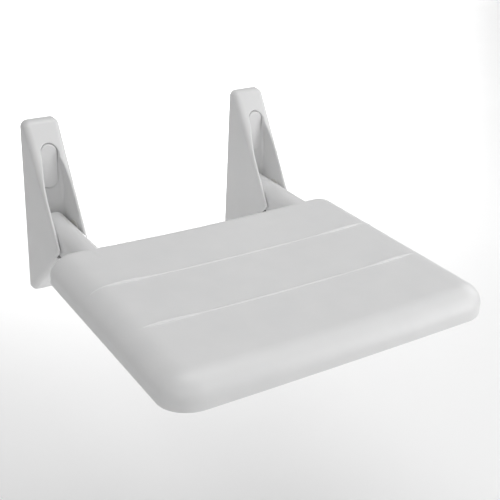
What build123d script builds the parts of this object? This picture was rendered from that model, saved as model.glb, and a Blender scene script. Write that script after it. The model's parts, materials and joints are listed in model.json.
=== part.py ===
from build123d import *
import os
from math import sqrt

# Wall-mounted fold-up shower seat: two tall wall brackets carry a moulded seat that
# swings up against the wall about two hinge pins on one axis.
# Axes: x across the seat, y into the wall (the wall is y = 0), z up.
# Heights below are measured from the feet of the brackets. store() then lowers every
# piece so that the origin is the centre of the four wall screw holes.

# Wall brackets
BRACKET_SPACING = 292.5      # between the middles of the two brackets
BRACKET_WIDTH = 45.0         # at the wall
BRACKET_HEIGHT = 229.0
BRACKET_DRAFT = 1.4          # degrees, every outer side leans in towards the front
FOOT_DEPTH = 4.2             # front to back, at the very bottom
TOP_DEPTH = 11.5             # front to back, at the very top
APEX_Y = -102.5              # the point that stands furthest off the wall
APEX_Z = 94.5
APEX_RADIUS = 8.0
TOP_CORNER = 8.5
BOTTOM_CORNER = 9.5
OUTER_ROUNDING = 8.0
RIM_ROUNDING = 1.6
WALL = 4.5                   # strut wall
REAR_WALL = 4.0              # web between the channel and the cored back
WEB_Y = -29.0                # floor of the front channel
CHANNEL_HALF = 16.6
CHANNEL_CORNER = 3.6
ARCH_Z = 142.0               # the channel narrows above here as half an ellipse
ARCH_RISE = 62.0
SHELF_Z = 84.0               # the ledge behind the apex that the arm comes down on
SHELF_BACK_Y = -81.0
SHELF_RISE_Y = 2.0           # the ledge's back edge rises to the strut over this depth
CORE_HALF = 17.5
REAR_RIBS = (58.0, 94.0, 130.0)
RIB = 3.0
CORE_FOOT = 2.0              # extra thickness above the foot, behind the web

# Wall screws and the cover over them
HOLE_CENTRE_Z = 176.5
HOLE_PITCH = 36.0
HOLE_RADIUS = 3.0
BOSS_RADIUS = 6.5
POCKET_WIDTH = 22.0
POCKET_LENGTH = 56.0
POCKET_LEDGE = 2.0           # width of the ledge that the cover's skirt rests on
POCKET_LEDGE_Y = -20.0
SCREW_SEAT_Y = -16.0
POCKET_BACK_Y = -12.0
COVER_GAP = 0.4
COVER_PROUD = 1.2
COVER_THICKNESS = 2.4
COVER_SKIRT = 1.4
COVER_ROUNDING = 1.2

# Hinge
PIVOT_Y = -60.0
PIVOT_Z = 103.0
PIN_RADIUS = 5.0
PIN_BLIND = 3.0              # depth of the blind end in the cheek
PIN_CHAMFER = 0.5
PIN_EASE = 0.6               # round the pin, in the moulded arm
PLUG_RADIUS = 7.9
PLUG_SEAT_X = 19.4
PLUG_TOP_X = 21.0
PLUG_SPIGOT_RADIUS = 2.5
PLUG_SPIGOT = 4.0
PLUG_ROUNDING = 0.9
PLUG_EASE = 0.1
WASHER_THICKNESS = 0.8
WASHER_RADIUS = 12.0
BUSH_RADIUS = 6.5
EYE_RADIUS = 9.5             # the metal arm's wall round the bush
RUNNING_GAP = 0.05
EASE = 0.2                   # fitting clearance of washers, screws and the metal arm
HEEL_RADIUS = 29.0           # the arm's round end, about the pin
PAD_TOP_Z = 86.8
PAD_FRONT_Y = -90.3
PAD_BACK_GAP = 1.4
PAD_SIDE_GAP = 2.6
PAD_SINK = 1.0               # how deep the pad sits in the ledge
PAD_ROUNDING = 0.8

# Seat moulding
SEAT_WIDTH = 400.0
SEAT_BACK_WIDTH = 393.2
SEAT_BACK_Y = -137.0
SEAT_FRONT_Y = -438.2
SEAT_BOW = 1.5               # the front edge bows forward by this much
SEAT_BOTTOM_Z = 87.0
SEAT_MIDDLE_Z = 116.4        # the top, at its lowest, in the middle
DISH = 2.9                   # rise of the top from the middle to DISH_HALF
DISH_HALF = 165.0
CORNER = 31.0                # in plan, at the front
EDGE_DEPTH = 26.0            # how far the soft front edge reaches back
EDGE_WIDTH = 30.0            # how far the soft side edges reach in
EDGE_DROP = 23.0             # how far they fall before the side is upright
BACK_ROUNDING = 15.0
SKIN = 3.5
ARM_HALF = 15.7
ARM_AXIS_Z = 103.3           # centre of the arm's half-round top
SLOT_HALF = 11.2             # room for the metal arm inside the moulded one
SLOT_TOP_Z = 109.3
TOP_RIB_YS = (-235.0, -328.0)
TOP_RIB_HALF = 180.0
TOP_RIB_HEIGHT = 0.9
TOP_RIB_RADIUS = 2.6
TOP_RIB_SHARES = (0.3, 0.6, 0.93, 1.0, 1.04)   # points along half a rib, by its half length
TOP_RIB_FALL_SHARE = 0.93    # from here outwards a rib sinks into the top
TOP_RIB_FALL = 22.0          # how steeply it sinks, in mm for a whole half length
INNER_RIB = 2.5
INNER_RIB_Z = 94.0
INNER_RIB_YS = (-190, -240, -290, -345)
INNER_RIB_XS = (-66, 66)
INNER_RIB_GAP = 3.0          # between the ribs and the metal arms

# Metal arms inside the seat
BAR_HALF = 11.0
BAR_TOP_Z = 108.0
BAR_BOTTOM_Z = 91.0
BAR_FRONT_Y = -335.0
BAR_HEEL_RADIUS = 25.0
BAR_TAPER = 3.0              # how much the bar's underside rises towards its front end
BAR_SCREW_YS = (-165.0, -215.0, -265.0, -315.0)
SCREW_RADIUS = 2.0
SCREW_HEAD_RADIUS = 4.0
SCREW_HEAD = 2.4
SCREW_TIP_Z = 112.5
SLOT_LENGTH = 4.4            # cross recess in a screw head
SLOT_WIDTH = 1.0
SLOT_DEPTH = 1.3

# Base panel under the seat
PANEL_BOTTOM_Z = 87.8
PANEL_TOP_Z = 90.3
PANEL_GAP = 0.4
PANEL_SCREW_XY = ((-100, -160), (0, -160), (100, -160), (-176, -290), (176, -290),
                  (-100, -405), (0, -405), (100, -405))
PANEL_SCREW_TIP_Z = 102.0
PANEL_BOSS_RADIUS = 4.5
PANEL_RECESS = 0.9
PANEL_RECESS_XS = (-118, 0, 118)
PANEL_RECESS_YS = (-224, -348)
PANEL_RECESS_WIDTH = 96.0
PANEL_RECESS_LENGTH = 92.0
PANEL_RECESS_CORNER = 8.0

LONG = 300.0                 # longer than anything that it has to cut
PAST = 1.0                   # how far a cutting form runs past a face
BELOW = 30.0                 # how far the cavity's form runs past the seat's open underside

STRUT_SLOPE = APEX_Z / (-APEX_Y - FOOT_DEPTH)
FRONT_SLOPE = (-APEX_Y - TOP_DEPTH) / (BRACKET_HEIGHT - APEX_Z)


def profile(points):
    """A closed outline in the y-z plane, through (y, z) points."""
    return make_face(Plane.YZ * Polyline(*points, close=True))


def across(face, half):
    """A side outline made solid to both sides of the middle."""
    return extrude(face, half, both=True)


def slot_face(width, length, z):
    """An upright oblong with round ends, in the x-z plane, about height z."""
    return Plane.XZ * Pos(0, z) * Rot(0, 0, 90) * SlotOverall(length, width)


def towards_wall(face, y_front, y_back):
    """A face of the x-z plane made solid from y_front back to y_back."""
    return Pos(0, y_back, 0) * extrude(face, y_back - y_front)


def x_rod(radius, x_low, x_high, y=PIVOT_Y, z=PIVOT_Z):
    """A round bar along x."""
    length = x_high - x_low
    return Pos((x_low + x_high) / 2, y, z) * Rot(0, 90, 0) * Cylinder(radius, length)


def y_rod(radius, y_low, y_high, z):
    """A round bar along y, in the middle of a bracket."""
    return Pos(0, (y_low + y_high) / 2, z) * Rot(90, 0, 0) * Cylinder(radius, y_high - y_low)


def z_rod(radius, x, y, z_low, z_high):
    """A round bar along z."""
    return Pos(x, y, (z_low + z_high) / 2) * Cylinder(radius, z_high - z_low)


def boundary(faces):
    """The edges round the outside of a group of neighbouring faces."""
    edges = [edge for face in faces for edge in face.edges()]
    return [edge for edge in edges if sum(same_edge(edge, other) for other in edges) == 1]


def same_edge(one, other):
    return (one.center() - other.center()).length < 1e-4


def strut_z(y, inset):
    """Height of the strut's outer slope at y, moved in by inset."""
    return STRUT_SLOPE * (-y - FOOT_DEPTH) + inset * sqrt(1 + STRUT_SLOPE**2)


def front_y(z, inset):
    """The front slope at height z, moved in by inset."""
    return -TOP_DEPTH - FRONT_SLOPE * (BRACKET_HEIGHT - z) + inset * sqrt(1 + FRONT_SLOPE**2)


def bracket_blank():
    """The bracket's outer form: a drafted block cut to the sloping side outline."""
    side = profile([(0, 0), (-FOOT_DEPTH, 0), (APEX_Y, APEX_Z),
                    (-TOP_DEPTH, BRACKET_HEIGHT), (0, BRACKET_HEIGHT)])
    side = fillet(side.vertices().sort_by(Axis.Y)[:1], APEX_RADIUS)
    front = Rectangle(BRACKET_WIDTH, BRACKET_HEIGHT, align=(Align.CENTER, Align.MIN))
    front = fillet(front.vertices().group_by(Axis.Y)[-1], TOP_CORNER)
    front = fillet(front.vertices().group_by(Axis.Y)[0], BOTTOM_CORNER)
    block = extrude(Plane.XZ * front, -APEX_Y + APEX_RADIUS, taper=BRACKET_DRAFT)
    blank = across(side, BRACKET_WIDTH) & block
    slopes = [face for face in blank.faces() if face.normal_at().Y < -0.3]
    return fillet(boundary(slopes), OUTER_ROUNDING)


def channel():
    """The space between the cheeks, arched at the top and open to the front."""
    mouth = Pos(0, ARCH_Z) * Ellipse(CHANNEL_HALF, ARCH_RISE)
    mouth += Pos(0, ARCH_Z / 2) * Rectangle(2 * CHANNEL_HALF, ARCH_Z)
    space = towards_wall(Plane.XZ * mouth, -LONG, WEB_Y)
    floor_edges = [edge for edge in space.edges().group_by(Axis.Y)[-1] if edge.center().Z > PAST]
    space = fillet(floor_edges, CHANNEL_CORNER)
    y_step = SHELF_BACK_Y + SHELF_RISE_Y
    y_back = WEB_Y + PAST
    limit = profile([(y_back, strut_z(y_back, WALL)), (y_step, strut_z(y_step, WALL)),
                     (SHELF_BACK_Y, SHELF_Z), (-LONG, SHELF_Z), (-LONG, LONG), (y_back, LONG)])
    return space & across(limit, BRACKET_WIDTH)


def rear_core():
    """The hollow behind the web, open to the wall."""
    web_back = WEB_Y + REAR_WALL
    top = BRACKET_HEIGHT - WALL
    z_front = BRACKET_HEIGHT - (-web_back - TOP_DEPTH + WALL * sqrt(1 + FRONT_SLOPE**2)) / FRONT_SLOPE
    outline = profile([(0, strut_z(0, WALL) + CORE_FOOT), (web_back, strut_z(web_back, WALL)),
                       (web_back, z_front), (front_y(top, WALL), top), (0, top)])
    core = across(outline, CORE_HALF)
    core = fillet(core.edges().filter_by(Axis.Y), RIB)
    for z in REAR_RIBS:
        core -= Pos(0, WEB_Y / 2, z) * Box(2 * CORE_HALF, -WEB_Y, RIB)
    return core


def wall_bracket():
    """One bracket, about its own middle. Both are the same moulding."""
    blank = bracket_blank()
    body = blank - rear_core()
    housing = towards_wall(slot_face(POCKET_WIDTH + 2 * RIB, POCKET_LENGTH + 2 * RIB, HOLE_CENTRE_Z),
                           WEB_Y, POCKET_BACK_Y)
    for z in screw_heights():
        housing += y_rod(BOSS_RADIUS, POCKET_BACK_Y, 0, z)
    body += housing & blank
    body -= channel()
    body -= towards_wall(slot_face(POCKET_WIDTH, POCKET_LENGTH, HOLE_CENTRE_Z), -LONG, POCKET_LEDGE_Y)
    body -= towards_wall(slot_face(POCKET_WIDTH - 2 * POCKET_LEDGE, POCKET_LENGTH - 2 * POCKET_LEDGE,
                                   HOLE_CENTRE_Z), -LONG, SCREW_SEAT_Y)
    for z in screw_heights():
        body -= y_rod(HOLE_RADIUS, SCREW_SEAT_Y - PAST, PAST, z)
    body = fillet(mouth_edges(body), RIM_ROUNDING)
    body -= x_rod(PIN_RADIUS, -CHANNEL_HALF - PIN_BLIND, PLUG_SEAT_X)
    body -= x_rod(PLUG_RADIUS + PLUG_EASE, PLUG_SEAT_X, BRACKET_WIDTH)
    return body - pad_block()


def screw_heights():
    return (HOLE_CENTRE_Z - HOLE_PITCH / 2, HOLE_CENTRE_Z + HOLE_PITCH / 2)


def mouth_edges(body):
    """The inner edges of the two rims, from the shelf up to the cover's pocket."""
    found = []
    for edge in body.edges():
        middle = edge.center()
        on_wall = POCKET_WIDTH / 2 < abs(middle.X) <= CHANNEL_HALF + 0.01
        in_front = middle.Y < WEB_Y - CHANNEL_CORNER
        on_slope = abs(middle.Y - front_y(middle.Z, 0)) < 1.5
        if on_wall and in_front and on_slope and middle.Z > APEX_Z + APEX_RADIUS:
            found.append(edge)
    return found


def pad_block():
    """The rubber strip on the shelf, sunk a little into it."""
    back = SHELF_BACK_Y - PAD_BACK_GAP
    height = PAD_TOP_Z - SHELF_Z + PAD_SINK
    block = Box(2 * (CHANNEL_HALF - PAD_SIDE_GAP), back - PAD_FRONT_Y, height)
    return Pos(0, (PAD_FRONT_Y + back) / 2, PAD_TOP_Z - height / 2) * block


def rest_pad():
    return fillet(pad_block().edges().group_by(Axis.Z)[-1], PAD_ROUNDING)


def screw_cover():
    """Oblong snap-in cover: a slightly crowned plate with a skirt down to the pocket's ledge."""
    width = POCKET_WIDTH - 2 * COVER_GAP
    length = POCKET_LENGTH - 2 * COVER_GAP
    front = WEB_Y - COVER_PROUD
    cover = towards_wall(slot_face(width, length, HOLE_CENTRE_Z), front, POCKET_LEDGE_Y)
    cover = fillet(cover.edges().group_by(Axis.Y)[0], COVER_ROUNDING)
    hollow = slot_face(width - 2 * COVER_SKIRT, length - 2 * COVER_SKIRT, HOLE_CENTRE_Z)
    return cover - towards_wall(hollow, front + COVER_THICKNESS, POCKET_LEDGE_Y)


def hinge_pin():
    pin = x_rod(PIN_RADIUS, -CHANNEL_HALF - PIN_BLIND, PLUG_SEAT_X)
    pin = chamfer(pin.edges().filter_by(GeomType.CIRCLE), PIN_CHAMFER)
    return pin - x_rod(PLUG_SPIGOT_RADIUS, PLUG_SEAT_X - PLUG_SPIGOT - PAST, PLUG_SEAT_X)


def pin_plug():
    plug = x_rod(PLUG_RADIUS, PLUG_SEAT_X, PLUG_TOP_X)
    plug = fillet(plug.edges().filter_by(GeomType.CIRCLE).sort_by(Axis.X)[-1:], PLUG_ROUNDING)
    return plug + x_rod(PLUG_SPIGOT_RADIUS, PLUG_SEAT_X - PLUG_SPIGOT, PLUG_SEAT_X)


def friction_washers():
    """One thin washer against the inner face of each cheek."""
    washers = []
    for side in (-1, 1):
        x_low, x_high = sorted((side * CHANNEL_HALF, side * (CHANNEL_HALF - WASHER_THICKNESS)))
        ring = x_rod(WASHER_RADIUS, x_low, x_high)
        washers.append(ring - x_rod(PIN_RADIUS + EASE, x_low, x_high))
    return washers


def pivot_bush():
    return x_rod(BUSH_RADIUS, -BAR_HALF, BAR_HALF) - x_rod(PIN_RADIUS + RUNNING_GAP, -LONG, LONG)


def heel(radius, z_top):
    """A side outline for an arm: round about the pin at the back, and straight to the front."""
    half_round = Plane.YZ * Pos(PIVOT_Y, PIVOT_Z) * Circle(radius)
    bar = profile([(PIVOT_Y + radius, SEAT_BOTTOM_Z), (PIVOT_Y + radius, z_top),
                   (PIVOT_Y, z_top), (PIVOT_Y, SEAT_BOTTOM_Z)])
    return half_round & bar


def arm_bar():
    """Aluminium arm: an eye round the bush, then a bar that runs forward under the seat."""
    front = profile([(PIVOT_Y, SEAT_BOTTOM_Z), (PIVOT_Y, BAR_TOP_Z), (BAR_FRONT_Y, BAR_TOP_Z),
                     (BAR_FRONT_Y, BAR_BOTTOM_Z + BAR_TAPER), (BAR_SCREW_YS[-2], BAR_BOTTOM_Z),
                     (SEAT_BACK_Y - SKIN, BAR_BOTTOM_Z), (SEAT_BACK_Y, SEAT_BOTTOM_Z)])
    bar = across(front + heel(BAR_HEEL_RADIUS, BAR_TOP_Z), BAR_HALF)
    bar += x_rod(EYE_RADIUS, -BAR_HALF, BAR_HALF)
    bar -= x_rod(BUSH_RADIUS, -LONG, LONG)
    for y in BAR_SCREW_YS:
        bar -= countersunk(0, y, BAR_BOTTOM_Z + bar_rise(y), BAR_TOP_Z, EASE)
    return bar


def bar_rise(y):
    """How much higher the bar's underside is at y, where it tapers to the front."""
    return max(0.0, BAR_TAPER * (BAR_SCREW_YS[-2] - y) / (BAR_SCREW_YS[-2] - BAR_FRONT_Y))


def slot_space():
    """The room inside a moulded arm, open below, that the metal arm lies in."""
    outline = profile([(PIVOT_Y, 0), (PIVOT_Y, SLOT_TOP_Z),
                       (SEAT_BACK_Y - BACK_ROUNDING, SLOT_TOP_Z), (SEAT_BACK_Y - BACK_ROUNDING, 0)])
    round_end = Plane.YZ * Pos(PIVOT_Y, PIVOT_Z) * Circle(BAR_HEEL_RADIUS + EASE)
    below = profile([(PIVOT_Y, 0), (PIVOT_Y, SLOT_TOP_Z), (0, SLOT_TOP_Z), (0, 0)])
    space = across(outline + (round_end & below), SLOT_HALF)
    return space + x_rod(EYE_RADIUS + EASE, -SLOT_HALF, SLOT_HALF)


def countersunk(x, y, z_head, z_tip, ease):
    """A countersunk screw's form, head down, with its shank pointing up."""
    head = Pos(x, y, z_head + SCREW_HEAD / 2)
    head *= Cone(SCREW_HEAD_RADIUS + ease, SCREW_RADIUS + ease, SCREW_HEAD)
    return head + z_rod(SCREW_RADIUS + ease, x, y, z_head, z_tip)


def screw(x, y, z_head, z_tip):
    """A countersunk screw with a cross recess in its head."""
    body = countersunk(x, y, z_head, z_tip, 0)
    for angle in (0, 90):
        body -= Pos(x, y, z_head) * Rot(0, 0, angle) * Box(SLOT_LENGTH, SLOT_WIDTH, 2 * SLOT_DEPTH)
    return body


def arm_screws(x):
    return [screw(x, y, BAR_BOTTOM_Z + bar_rise(y), SCREW_TIP_Z) for y in BAR_SCREW_YS]


def panel_screws():
    return [screw(x, y, PANEL_BOTTOM_Z, PANEL_SCREW_TIP_Z) for x, y in PANEL_SCREW_XY]


def seat_outline(inset, back_y):
    """The seat seen from above, moved in by inset, with its front edge bowed."""
    half_front = (SEAT_WIDTH / 2 - inset) / stretch_x()
    half_back = (SEAT_BACK_WIDTH / 2 - inset) / stretch_x()
    front = SEAT_FRONT_Y + inset
    edge = ThreePointArc((-half_front, front + SEAT_BOW), (0, front), (half_front, front + SEAT_BOW))
    rest = Polyline((half_front, front + SEAT_BOW), (half_back, back_y), (-half_back, back_y),
                    (-half_front, front + SEAT_BOW))
    face = make_face([edge, *rest.edges()])
    return fillet(face.vertices().group_by(Axis.Y)[0], CORNER - inset)


def stretch_x():
    return EDGE_WIDTH / EDGE_DEPTH


def squash_z():
    return EDGE_DROP / EDGE_DEPTH


def seat_form(inset, bottom_z):
    """The seat as a solid pillow with a dished top. Its soft edges are made with one
    radius, and then stretched to their real width and drop."""
    middle = (SEAT_MIDDLE_Z - inset) / squash_z()
    rise = DISH / squash_z()
    chord = DISH_HALF / stretch_x()
    radius = (chord**2 + rise**2) / (2 * rise)
    bottom = bottom_z / squash_z()
    block = Pos(0, 0, bottom) * extrude(seat_outline(inset, 0), middle + 3 * rise - bottom)
    block -= Pos(0, 0, middle + radius) * Rot(90, 0, 0) * Cylinder(radius, 4 * LONG)
    top = block.faces().sort_by(Axis.Z)[-1]
    soft = [edge for edge in top.edges() if edge.center().Y < -1]
    block = scale(fillet(soft, EDGE_DEPTH - inset), by=(stretch_x(), 1, squash_z()))
    back_y = SEAT_BACK_Y - inset
    block &= Pos(0, back_y - LONG, 0) * Box(2 * LONG, 2 * LONG, 2 * LONG)
    back = block.faces().sort_by(Axis.Y)[-1]
    upper = [edge for edge in back.edges() if edge.center().Z > bottom_z + 1]
    return fillet(upper, BACK_ROUNDING - inset)


def surface_z(x):
    """Height of the seat's top at x, away from the front and the back."""
    inward = abs(x) - (SEAT_WIDTH / 2 - EDGE_WIDTH)
    fall = EDGE_DROP * (1 - sqrt(1 - (inward / EDGE_WIDTH)**2)) if inward > 0 else 0
    return SEAT_MIDDLE_Z + DISH * (x / DISH_HALF)**2 - fall


def top_rib(y):
    """A low soft rib across the top, which sinks into it at both ends."""
    crest = TOP_RIB_HEIGHT - TOP_RIB_RADIUS
    points = []
    outwards = [-share for share in reversed(TOP_RIB_SHARES)]
    for share in (*outwards, 0, *TOP_RIB_SHARES):
        x = share * TOP_RIB_HALF
        sink = max(0.0, abs(share) - TOP_RIB_FALL_SHARE) * TOP_RIB_FALL
        points.append((x, y, surface_z(x) + crest - sink))
    path = Spline(*points)
    ring = Plane(origin=path @ 0, z_dir=path % 0) * Circle(TOP_RIB_RADIUS)
    return sweep(ring, path)


def arm_cover():
    """The outside of a moulded arm: half-round on top, straight-sided below."""
    end = Plane.XZ * (Pos(0, ARM_AXIS_Z) * Circle(ARM_HALF)
                      + Pos(0, (SEAT_BOTTOM_Z + ARM_AXIS_Z) / 2)
                      * Rectangle(2 * ARM_HALF, ARM_AXIS_Z - SEAT_BOTTOM_Z))
    straight = towards_wall(end, SEAT_BACK_Y - 2 * BACK_ROUNDING, 0)
    reach = heel(HEEL_RADIUS, LONG) + profile([(PIVOT_Y, SEAT_BOTTOM_Z), (PIVOT_Y, LONG),
                                               (-LONG, LONG), (-LONG, SEAT_BOTTOM_Z)])
    return straight & across(reach, ARM_HALF + PAST)


def seat_with_arms():
    """The outside of the seat: a soft-edged shell, open below, and its two hollow arms."""
    shell = seat_form(0, SEAT_BOTTOM_Z)
    for y in TOP_RIB_YS:
        shell += top_rib(y)
    cavity = seat_form(SKIN, SEAT_BOTTOM_Z - BELOW)
    inside = Part() + bosses() + inner_ribs()
    shell = shell - cavity + (inside & cavity)
    for x in bracket_middles():
        shell += Pos(x, 0, 0) * arm_cover() - cavity
        shell -= Pos(x, 0, 0) * slot_space()
        shell -= Pos(x, 0, 0) * x_rod(PIN_RADIUS + PIN_EASE, -BELOW, BELOW)
    return shell


def in_front(seat):
    """The seat's own moulding, up to its back face."""
    return seat & Pos(0, SEAT_BACK_Y - LONG, 0) * Box(4 * LONG, 2 * LONG, 2 * LONG)


def behind(seat, x):
    """The cover of one arm, which butts against the seat's back face."""
    return seat & Pos(x, SEAT_BACK_Y + LONG, 0) * Box(2 * BRACKET_WIDTH, 2 * LONG, 2 * LONG)


def bosses():
    """Screw pillars under the top, for the metal arms and for the base panel."""
    pillars = []
    for x in bracket_middles():
        for y in BAR_SCREW_YS:
            pillar = z_rod(BOSS_RADIUS, x, y, BAR_TOP_Z, SEAT_MIDDLE_Z)
            pillars.append(pillar - z_rod(SCREW_RADIUS, x, y, BAR_TOP_Z, SCREW_TIP_Z))
    for x, y in PANEL_SCREW_XY:
        pillar = z_rod(PANEL_BOSS_RADIUS, x, y, PANEL_TOP_Z, SEAT_MIDDLE_Z)
        pillars.append(pillar - z_rod(SCREW_RADIUS, x, y, PANEL_TOP_Z, PANEL_SCREW_TIP_Z))
    return pillars


def inner_ribs():
    """Stiffening walls under the top, clear of the metal arms and the base panel."""
    ribs = []
    height = SEAT_MIDDLE_Z - INNER_RIB_Z
    z = INNER_RIB_Z + height / 2
    clear = BRACKET_SPACING / 2 - BAR_HALF - INNER_RIB_GAP
    for y in INNER_RIB_YS:
        ribs.append(Pos(0, y, z) * Box(2 * clear, INNER_RIB, height))
    for x in INNER_RIB_XS:
        ribs.append(Pos(x, (SEAT_FRONT_Y + SEAT_BACK_Y) / 2, z) * Box(INNER_RIB, LONG, height))
    return ribs


def bracket_middles():
    return (-BRACKET_SPACING / 2, BRACKET_SPACING / 2)


def base_panel():
    """The cover under the seat, set into the shell, with shallow moulded recesses."""
    inset = SKIN + PANEL_GAP
    half_front = SEAT_WIDTH / 2 - inset
    half_back = SEAT_BACK_WIDTH / 2 - inset
    front = SEAT_FRONT_Y + SEAT_BOW + inset
    back = SEAT_BACK_Y - inset
    face = make_face(Polyline((-half_front, front), (half_front, front), (half_back, back),
                              (-half_back, back), close=True))
    face = fillet(face.vertices().group_by(Axis.Y)[0], CORNER * stretch_x())
    face = fillet(face.vertices().group_by(Axis.Y)[-1], BACK_ROUNDING)
    panel = Pos(0, 0, PANEL_BOTTOM_Z) * extrude(face, PANEL_TOP_Z - PANEL_BOTTOM_Z)
    recess = RectangleRounded(PANEL_RECESS_WIDTH, PANEL_RECESS_LENGTH, PANEL_RECESS_CORNER)
    for x in PANEL_RECESS_XS:
        for y in PANEL_RECESS_YS:
            panel -= Pos(x, y, PANEL_BOTTOM_Z) * extrude(recess, PANEL_RECESS)
    for x, y in PANEL_SCREW_XY:
        panel -= countersunk(x, y, PANEL_BOTTOM_Z, PANEL_TOP_Z + PAST, EASE)
    return panel


def store(name, *pieces):
    """Write one named sub-part, with the origin at the middle of the wall screw holes."""
    solids = [Pos(0, 0, -HOLE_CENTRE_Z) * solid for piece in pieces for solid in piece.solids()]
    export_step(solids[0] if len(solids) == 1 else Compound(children=solids), f"parts/{name}.step")


def main():
    os.makedirs("parts", exist_ok=True)
    once = {"wall_bracket": wall_bracket(), "screw_cover": screw_cover(), "hinge_pin": hinge_pin(),
            "pin_plug": pin_plug(), "rest_pad": rest_pad(), "pivot_bush": pivot_bush(),
            "arm_bar": arm_bar()}
    seat = seat_with_arms()
    for side, x in zip(("left", "right"), bracket_middles()):
        for name, piece in once.items():
            store(f"{side}_{name}", Pos(x, 0, 0) * piece)
        store(f"{side}_friction_washers", *[Pos(x, 0, 0) * ring for ring in friction_washers()])
        store(f"{side}_arm_screws", *arm_screws(x))
        store(f"{side}_arm_cover", behind(seat, x))
    store("seat_shell", in_front(seat))
    store("base_panel", base_panel())
    store("panel_screws", *panel_screws())


main()
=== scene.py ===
"""Looks for the fold-up shower seat: a material for every piece, the floor, the lights and the camera."""

import json
from math import cos, pi, radians, sin

import bpy
from mathutils import Matrix, Vector


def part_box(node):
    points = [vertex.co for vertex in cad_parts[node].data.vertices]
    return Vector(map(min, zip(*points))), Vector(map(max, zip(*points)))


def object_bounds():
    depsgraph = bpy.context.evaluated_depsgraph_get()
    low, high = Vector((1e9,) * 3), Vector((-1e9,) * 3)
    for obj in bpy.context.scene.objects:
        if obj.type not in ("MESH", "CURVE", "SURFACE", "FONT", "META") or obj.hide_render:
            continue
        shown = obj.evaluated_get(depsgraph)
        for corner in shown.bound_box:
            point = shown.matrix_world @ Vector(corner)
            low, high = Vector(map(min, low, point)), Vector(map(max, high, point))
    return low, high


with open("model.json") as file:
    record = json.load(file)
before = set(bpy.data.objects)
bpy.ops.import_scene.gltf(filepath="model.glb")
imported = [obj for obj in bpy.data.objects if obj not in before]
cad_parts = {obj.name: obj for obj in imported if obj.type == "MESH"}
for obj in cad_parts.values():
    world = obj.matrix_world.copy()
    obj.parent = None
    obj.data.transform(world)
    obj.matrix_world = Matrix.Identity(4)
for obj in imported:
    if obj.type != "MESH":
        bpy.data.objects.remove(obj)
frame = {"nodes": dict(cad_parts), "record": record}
cad_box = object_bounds()

# Camera, as seen from the middle of the object
CAMERA_AZIMUTH = radians(-34.0)
CAMERA_ELEVATION = radians(26.4)
CAMERA_ROLL = radians(2.9)
CAMERA_DISTANCE = 1.092
CAMERA_LENS = 68.06
AIM_OFFSET = Vector((0.0151, -0.0094, 0.0013))

# The seat hangs on its wall at a sitting height above the floor
SEAT_ABOVE_FLOOR = 0.46
FLOOR_SIZE = 30.0

# Light: sizes in metres and powers in watts. The backdrop lamps light the floor behind the object
DOWN = Vector((0.0, 0.0, -1.0))
WORLD_STRENGTH = 0.34
LIGHTS = {
    "right": {"place": (1.5, -0.2, 0.5), "size": 1.0, "power": 3.6},
    "right_front": {"place": (1.1, -1.3, 0.5), "size": 1.0, "power": 5.0},
    "low_right": {"place": (0.8, -1.1, -0.05), "size": 0.5, "power": 1.8},
    "left_front": {"place": (-1.1, -1.6, 0.6), "size": 1.2, "power": 4.4},
    "overhead": {"place": (0.0, -0.4, 1.2), "size": 1.0, "power": 5.4},
}
BACKDROP_SPREAD = radians(110.0)
BACKDROP_LIGHTS = {
    "backdrop_near": {"place": (0.5, 1.2, 0.9), "size": 1.2, "power": 7.5},
    "backdrop_middle": {"place": (1.0, 2.3, 1.2), "size": 1.6, "power": 30.0},
    "backdrop_far": {"place": (2.2, 4.0, 1.4), "size": 2.4, "power": 60.0},
}

# The middle stretch of a noise's values, which is spread out over a whole range
NOISE_LOW = 0.3
NOISE_HIGH = 0.7

PITS_PER_METRE = 1400.0


def add(tree, kind, links=None, values=None):
    """One node: the values of its inputs, and what feeds them."""
    made = tree.nodes.new("ShaderNode" + kind)
    for name, value in (values or {}).items():
        made.inputs[name].default_value = value
    for name, socket in (links or {}).items():
        tree.links.new(socket, made.inputs[name])
    return made


def new_material(name, **uniform):
    """A material and its tree, shader and object coordinates. Uniform values go on the shader itself."""
    made = bpy.data.materials.new(name)
    made.use_nodes = True
    tree = made.node_tree
    shader = tree.nodes["Principled BSDF"]
    for socket, value in uniform.items():
        shader.inputs[socket.replace("_", " ")].default_value = value
    place = add(tree, "TexCoord").outputs["Object"]
    return made, tree, shader, place


def noise(tree, place, feature, detail=2.0, stretch=(1.0, 1.0, 1.0)):
    """Cloudy noise whose features are about that many metres across, longer where stretch is above 1."""
    scale = tuple(1.0 / (feature * s) for s in stretch)
    moved = add(tree, "Mapping", {"Vector": place}, {"Scale": scale})
    made = add(tree, "TexNoise", {"Vector": moved.outputs["Vector"]}, {"Scale": 1.0, "Detail": detail})
    return made.outputs["Fac"]


def spread(tree, factor, low, high):
    """The factor's middle stretch, spread out from low to high."""
    values = {"From Min": NOISE_LOW, "From Max": NOISE_HIGH, "To Min": low, "To Max": high}
    return add(tree, "MapRange", {"Value": factor}, values).outputs["Result"]


def blend_colours(tree, factor, first, second):
    """A colour between two, by the factor."""
    ramp = add(tree, "ValToRGB", {"Fac": factor})
    ramp.color_ramp.elements[0].position = NOISE_LOW
    ramp.color_ramp.elements[1].position = NOISE_HIGH
    ramp.color_ramp.elements[0].color = (*first, 1.0)
    ramp.color_ramp.elements[1].color = (*second, 1.0)
    return ramp.outputs["Color"]


def bump(tree, height, depth, strength, below=None):
    """A bump of that depth in metres, over the one below it."""
    links = {"Height": height}
    if below is not None:
        links["Normal"] = below
    values = {"Strength": strength, "Distance": depth}
    return add(tree, "Bump", links, values).outputs["Normal"]


def connect(tree, shader, colour, roughness, normal):
    """Feeds the shader."""
    tree.links.new(colour, shader.inputs["Base Color"])
    tree.links.new(roughness, shader.inputs["Roughness"])
    tree.links.new(normal, shader.inputs["Normal"])


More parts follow.
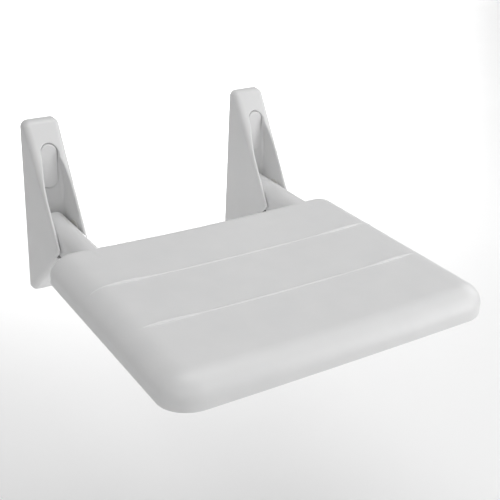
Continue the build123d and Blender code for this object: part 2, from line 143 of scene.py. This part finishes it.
def moulded_plastic(name, dark, light, smooth, rough, grain, grain_depth, coat):
    """White plastic out of a polished or lightly etched mould: fine grain, faint waves where the walls
    shrank, a little mottling in the colour and patches that are a touch glossier than others."""
    made, tree, shader, place = new_material(
        name, IOR=1.5, Coat_Weight=coat, Coat_Roughness=0.18, Subsurface_Weight=0.06,
        Subsurface_Radius=(0.004, 0.004, 0.0035), Subsurface_Scale=1.0)
    mottle = noise(tree, place, feature=0.035, detail=4.0)
    fine = noise(tree, place, feature=grain, detail=3.0)
    patches = noise(tree, place, feature=0.018, detail=3.0)
    waves = noise(tree, place, feature=0.06, detail=1.0)
    colour = blend_colours(tree, mottle, dark, light)
    roughness = spread(tree, patches, smooth, rough)
    sunk = bump(tree, waves, depth=0.0006, strength=0.25)
    grained = bump(tree, fine, depth=grain_depth, strength=0.5, below=sunk)
    connect(tree, shader, colour, roughness, grained)
    return made


def etched_plastic(name, dark, light):
    """The underside panel: plastic from a coarsely etched mould, quite matt."""
    made, tree, shader, place = new_material(name, IOR=1.5)
    pits = add(tree, "TexVoronoi", {"Vector": place}, {"Scale": PITS_PER_METRE}).outputs["Distance"]
    mottle = noise(tree, place, feature=0.02, detail=4.0)
    patches = noise(tree, place, feature=0.012, detail=3.0)
    waves = noise(tree, place, feature=0.05, detail=1.0)
    colour = blend_colours(tree, mottle, dark, light)
    roughness = spread(tree, patches, low=0.52, high=0.66)
    sunk = bump(tree, waves, depth=0.0008, strength=0.3)
    pitted = bump(tree, pits, depth=0.00012, strength=0.6, below=sunk)
    connect(tree, shader, colour, roughness, pitted)
    return made


def drawn_aluminium(name, dark, light):
    """Extruded and anodised bar: long die lines along its length, satin between them."""
    made, tree, shader, place = new_material(name, Metallic=1.0, Anisotropic=0.45)
    lines = noise(tree, place, feature=0.0005, stretch=(1.0, 160.0, 1.0))
    clouds = noise(tree, place, feature=0.01, detail=3.0)
    colour = blend_colours(tree, lines, dark, light)
    roughness = spread(tree, clouds, low=0.3, high=0.42)
    connect(tree, shader, colour, roughness, bump(tree, lines, depth=0.00003, strength=0.5))
    return made


def turned_steel(name, dark, light):
    """Stainless bar off a lathe: fine rings round the X axis."""
    made, tree, shader, place = new_material(name, Metallic=1.0, Anisotropic=0.3)
    rings = noise(tree, place, feature=0.0002, stretch=(1.0, 60.0, 60.0))
    smears = noise(tree, place, feature=0.004, detail=3.0)
    colour = blend_colours(tree, smears, dark, light)
    roughness = spread(tree, rings, low=0.2, high=0.34)
    connect(tree, shader, colour, roughness, bump(tree, rings, depth=0.00002, strength=0.5))
    return made


def plated_steel(name, dark, light):
    """Screws: cold-headed and tumbled, with small soft dents."""
    made, tree, shader, place = new_material(name, Metallic=1.0)
    dents = noise(tree, place, feature=0.0007, detail=3.0)
    tint = noise(tree, place, feature=0.002, detail=3.0)
    colour = blend_colours(tree, tint, dark, light)
    roughness = spread(tree, dents, low=0.24, high=0.42)
    connect(tree, shader, colour, roughness, bump(tree, dents, depth=0.00004, strength=0.5))
    return made


def natural_nylon(name, dark, light):
    """Bushes and washers: milky nylon with faint turning marks."""
    made, tree, shader, place = new_material(
        name, IOR=1.53, Subsurface_Weight=0.25, Subsurface_Radius=(0.003, 0.0028, 0.0022),
        Subsurface_Scale=1.0)
    marks = noise(tree, place, feature=0.0004, stretch=(1.0, 12.0, 12.0))
    clouds = noise(tree, place, feature=0.005, detail=3.0)
    colour = blend_colours(tree, clouds, dark, light)
    roughness = spread(tree, clouds, low=0.4, high=0.52)
    connect(tree, shader, colour, roughness, bump(tree, marks, depth=0.00003, strength=0.5))
    return made


def rubber(name, dark, light):
    """The rest pads: dull moulded rubber with a dusty bloom."""
    made, tree, shader, place = new_material(name, IOR=1.45)
    bloom = noise(tree, place, feature=0.006, detail=5.0)
    skin = noise(tree, place, feature=0.0005, detail=3.0)
    colour = blend_colours(tree, bloom, dark, light)
    roughness = spread(tree, bloom, low=0.62, high=0.8)
    connect(tree, shader, colour, roughness, bump(tree, skin, depth=0.00006, strength=0.6))
    return made


def paint_nodes():
    """Gives each CAD node the material of its slot in the record."""
    looks = {
        "bracket_plastic": moulded_plastic(
            "bracket_white", dark=(0.775, 0.777, 0.778), light=(0.80, 0.80, 0.80), smooth=0.30, rough=0.38,
            grain=0.0007, grain_depth=0.00003, coat=0.12),
        "cover_plastic": moulded_plastic(
            "cover_white", dark=(0.79, 0.79, 0.79), light=(0.81, 0.81, 0.81), smooth=0.28, rough=0.36,
            grain=0.0006, grain_depth=0.00003, coat=0.12),
        "seat_plastic": moulded_plastic(
            "seat_white", dark=(0.785, 0.787, 0.788), light=(0.81, 0.81, 0.81), smooth=0.36, rough=0.46,
            grain=0.0009, grain_depth=0.00006, coat=0.08),
        "panel_plastic": etched_plastic(
            "panel_white", dark=(0.72, 0.72, 0.72), light=(0.77, 0.77, 0.765)),
        "arm_metal": drawn_aluminium(
            "arm_aluminium", dark=(0.66, 0.67, 0.68), light=(0.80, 0.81, 0.82)),
        "pin_steel": turned_steel(
            "pin_stainless", dark=(0.55, 0.55, 0.54), light=(0.68, 0.68, 0.67)),
        "screw_steel": plated_steel(
            "screw_stainless", dark=(0.52, 0.52, 0.52), light=(0.68, 0.68, 0.68)),
        "bush_nylon": natural_nylon(
            "nylon_natural", dark=(0.70, 0.69, 0.64), light=(0.78, 0.77, 0.73)),
        "pad_rubber": rubber("rubber_grey", dark=(0.19, 0.19, 0.20), light=(0.28, 0.28, 0.29)),
    }
    for part in frame["record"]["subparts"]:
        mesh = frame["nodes"][part["node"]].data
        mesh.materials.clear()
        mesh.materials.append(looks[part["material_slot"]])


def pale_floor():
    """A plain floor, at a sitting height below the seat."""
    seat_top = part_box("seat_shell")[1].z
    bpy.ops.mesh.primitive_plane_add(size=FLOOR_SIZE, location=(0.0, 0.0, seat_top - SEAT_ABOVE_FLOOR))
    floor = bpy.context.object
    floor.name = "floor"
    made, tree, shader, place = new_material("floor_pale", Roughness=0.9)
    clouds = noise(tree, place, feature=0.4)
    tint = blend_colours(tree, clouds, first=(0.94, 0.94, 0.94), second=(0.96, 0.96, 0.96))
    tree.links.new(tint, shader.inputs["Base Color"])
    floor.data.materials.append(made)


def soft_lights(aim):
    """A pale world, soft lamps that point at the object, and others that shine straight down behind it."""
    world = bpy.data.worlds.new("studio")
    bpy.context.scene.world = world
    world.use_nodes = True
    sky = world.node_tree.nodes["Background"]
    sky.inputs["Color"].default_value = (1.0, 1.0, 1.0, 1.0)
    sky.inputs["Strength"].default_value = WORLD_STRENGTH
    for name, lamp in LIGHTS.items():
        add_lamp(name, lamp, aim - Vector(lamp["place"]))
    for name, lamp in BACKDROP_LIGHTS.items():
        add_lamp(name, lamp, DOWN, BACKDROP_SPREAD)


def add_lamp(name, lamp, direction, spread_angle=pi):
    """A round soft lamp that shines along the direction, and isn't seen itself."""
    data = bpy.data.lights.new(name, "AREA")
    data.shape = "DISK"
    data.size = lamp["size"]
    data.energy = lamp["power"]
    data.spread = spread_angle
    made = bpy.data.objects.new(name, data)
    bpy.context.scene.collection.objects.link(made)
    made.location = lamp["place"]
    made.visible_camera = False
    made.rotation_euler = direction.to_track_quat("-Z", "Y").to_euler()


def camera(aim):
    """The camera looks down at the seat's front left corner, tilted a little."""
    data = bpy.data.cameras.new("camera")
    data.lens = CAMERA_LENS
    made = bpy.data.objects.new("camera", data)
    bpy.context.scene.collection.objects.link(made)
    level = Vector((cos(CAMERA_AZIMUTH), sin(CAMERA_AZIMUTH), 0.0))
    back = Vector((sin(CAMERA_AZIMUTH) * cos(CAMERA_ELEVATION),
                   -cos(CAMERA_AZIMUTH) * cos(CAMERA_ELEVATION), sin(CAMERA_ELEVATION)))
    rise = back.cross(level)
    right = level * cos(CAMERA_ROLL) + rise * sin(CAMERA_ROLL)
    up = rise * cos(CAMERA_ROLL) - level * sin(CAMERA_ROLL)
    turn = Matrix((right, up, back)).transposed()
    made.matrix_world = Matrix.Translation(aim + back * CAMERA_DISTANCE) @ turn.to_4x4()
    bpy.context.scene.camera = made


def main():
    middle = (cad_box[0] + cad_box[1]) / 2
    paint_nodes()
    pale_floor()
    soft_lights(middle)
    camera(middle + AIM_OFFSET)
    bpy.context.scene.view_settings.view_transform = "Standard"


main()
